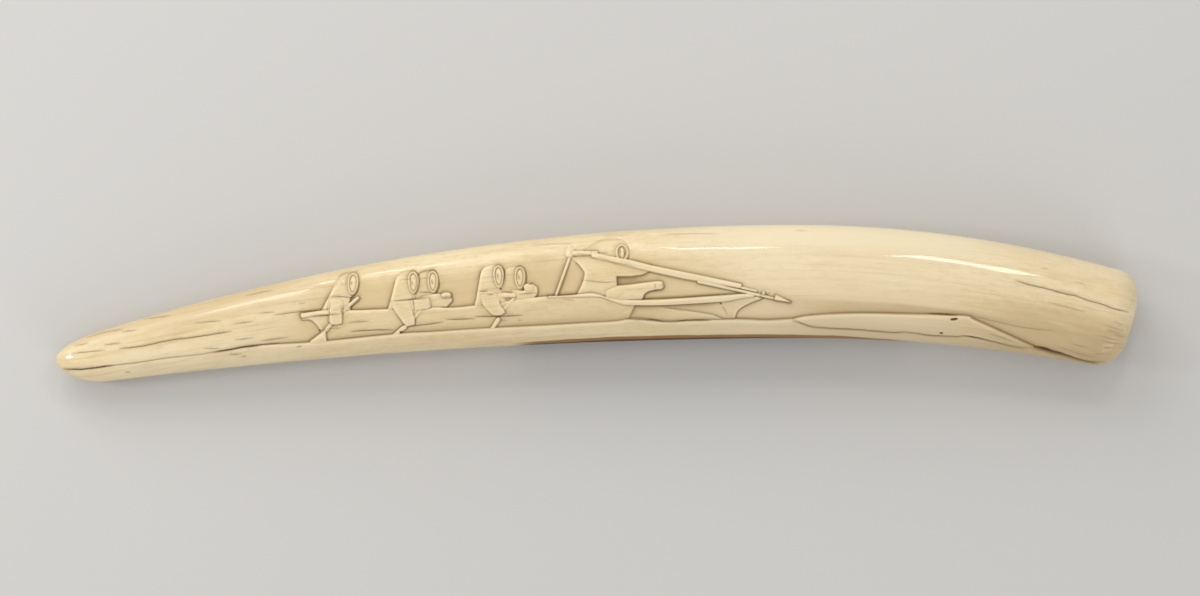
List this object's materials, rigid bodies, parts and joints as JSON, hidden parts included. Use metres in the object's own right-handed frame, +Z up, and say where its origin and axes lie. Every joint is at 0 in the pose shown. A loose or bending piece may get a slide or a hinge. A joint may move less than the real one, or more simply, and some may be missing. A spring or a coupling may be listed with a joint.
{
  "type": "carved ivory tusk",
  "caption": "Long curved tusk lying on its plain side, with a boat, its crew, a harpooner and a whale carved in low relief along the upper side. An ornament for a shelf or table.",
  "frame": {"origin": "middle of the tusk's box, on the surface it lies on", "axes": "+X along the tusk from the tip towards the butt, +Y across it towards the outside of the bend, +Z up, out of the carved side"},
  "size_m": [0.6116, 0.0888, 0.0451],
  "materials": {
    "ivory": "old polished ivory, cream to honey, darker in the cuts and along the age cracks"
  },
  "bodies": {
    "root": {"carved_tusk": "ivory"}
  },
  "joints": []
}
